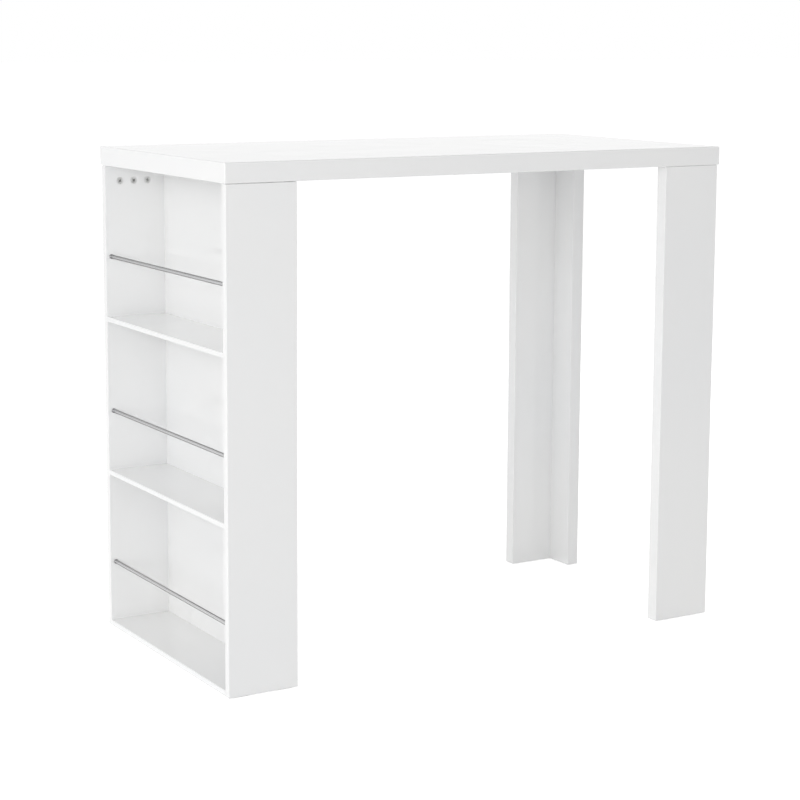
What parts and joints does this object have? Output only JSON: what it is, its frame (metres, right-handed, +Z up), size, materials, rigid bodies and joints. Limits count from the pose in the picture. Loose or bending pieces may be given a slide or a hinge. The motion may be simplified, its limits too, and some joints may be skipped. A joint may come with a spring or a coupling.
{
  "type": "bar table",
  "caption": "Bar-height table: thick white lacquered top on an open shelf unit with guard rods at one end and L-shaped legs at the other, joined by turning cam fittings.",
  "frame": {"origin": "on the floor, under the middle of the table top", "axes": "+X along the length from the shelf unit to the legs, +Y from the front to the back, +Z up"},
  "size_m": [1.2, 0.6, 1.05],
  "materials": {
    "white_lacquer": "high-gloss white lacquer on MDF",
    "chipboard": "raw chipboard",
    "plywood": "raw plywood",
    "rod_steel": "satin steel",
    "cam_zinc": "die-cast zinc",
    "bolt_steel": "zinc-plated steel",
    "glide_felt": "pale self-adhesive glide"
  },
  "bodies": {
    "table": {"top_upper_skin": "white_lacquer", "top_lower_skin": "white_lacquer", "top_front_rail": "white_lacquer", "top_rear_rail": "white_lacquer", "top_left_rail": "white_lacquer", "top_right_rail": "white_lacquer", "top_cross_bar": "chipboard", "side_panel_front": "white_lacquer", "side_panel_rear": "white_lacquer", "unit_back_panel": "white_lacquer", "bottom_board": "white_lacquer", "lower_shelf": "white_lacquer", "upper_shelf": "white_lacquer", "front_unit_tongue": "plywood", "rear_unit_tongue": "plywood", "lower_guard_rod": "rod_steel", "middle_guard_rod": "rod_steel", "upper_guard_rod": "rod_steel", "rod_collars": "rod_steel", "front_leg_wide_board": "white_lacquer", "front_leg_narrow_board": "white_lacquer", "front_leg_tongue": "plywood", "rear_leg_wide_board": "white_lacquer", "rear_leg_narrow_board": "white_lacquer", "rear_leg_tongue": "plywood", "cam_bolts_front_panel": "bolt_steel", "cam_bolts_rear_panel": "bolt_steel", "cam_bolts_front_leg": "bolt_steel", "cam_bolts_rear_leg": "bolt_steel", "floor_glides": "glide_felt"},
    "cam_front_panel_1": {"cam_front_panel_1": "cam_zinc"},
    "cam_front_panel_2": {"cam_front_panel_2": "cam_zinc"},
    "cam_front_panel_3": {"cam_front_panel_3": "cam_zinc"},
    "cam_rear_panel_1": {"cam_rear_panel_1": "cam_zinc"},
    "cam_rear_panel_2": {"cam_rear_panel_2": "cam_zinc"},
    "cam_rear_panel_3": {"cam_rear_panel_3": "cam_zinc"},
    "cam_front_leg_1": {"cam_front_leg_1": "cam_zinc"},
    "cam_front_leg_2": {"cam_front_leg_2": "cam_zinc"},
    "cam_rear_leg_1": {"cam_rear_leg_1": "cam_zinc"},
    "cam_rear_leg_2": {"cam_rear_leg_2": "cam_zinc"}
  },
  "joints": [
    {"name": "turn_front_panel_1", "type": "hinge", "parent": "table", "child": "cam_front_panel_1", "pos_m": [-0.5625, -0.281, 0.976], "axis": [0, 1, 0], "range_deg": [0, 170]},
    {"name": "turn_front_panel_2", "type": "hinge", "parent": "table", "child": "cam_front_panel_2", "pos_m": [-0.5305, -0.281, 0.976], "axis": [0, 1, 0], "range_deg": [0, 180]},
    {"name": "turn_front_panel_3", "type": "hinge", "parent": "table", "child": "cam_front_panel_3", "pos_m": [-0.4985, -0.281, 0.976], "axis": [0, 1, 0], "range_deg": [0, 155]},
    {"name": "turn_rear_panel_1", "type": "hinge", "parent": "table", "child": "cam_rear_panel_1", "pos_m": [-0.5625, 0.281, 0.976], "axis": [0, -1, 0], "range_deg": [0, 170]},
    {"name": "turn_rear_panel_2", "type": "hinge", "parent": "table", "child": "cam_rear_panel_2", "pos_m": [-0.5305, 0.281, 0.976], "axis": [0, -1, 0], "range_deg": [0, 180]},
    {"name": "turn_rear_panel_3", "type": "hinge", "parent": "table", "child": "cam_rear_panel_3", "pos_m": [-0.4985, 0.281, 0.976], "axis": [0, -1, 0], "range_deg": [0, 155]},
    {"name": "turn_front_leg_1", "type": "hinge", "parent": "table", "child": "cam_front_leg_1", "pos_m": [0.52, -0.267, 0.976], "axis": [0, 1, 0], "range_deg": [0, 165]},
    {"name": "turn_front_leg_2", "type": "hinge", "parent": "table", "child": "cam_front_leg_2", "pos_m": [0.567, -0.2295, 0.976], "axis": [-1, 0, 0], "range_deg": [0, 175]},
    {"name": "turn_rear_leg_1", "type": "hinge", "parent": "table", "child": "cam_rear_leg_1", "pos_m": [0.52, 0.267, 0.976], "axis": [0, -1, 0], "range_deg": [0, 165]},
    {"name": "turn_rear_leg_2", "type": "hinge", "parent": "table", "child": "cam_rear_leg_2", "pos_m": [0.567, 0.2295, 0.976], "axis": [-1, 0, 0], "range_deg": [0, 175]}
  ]
}
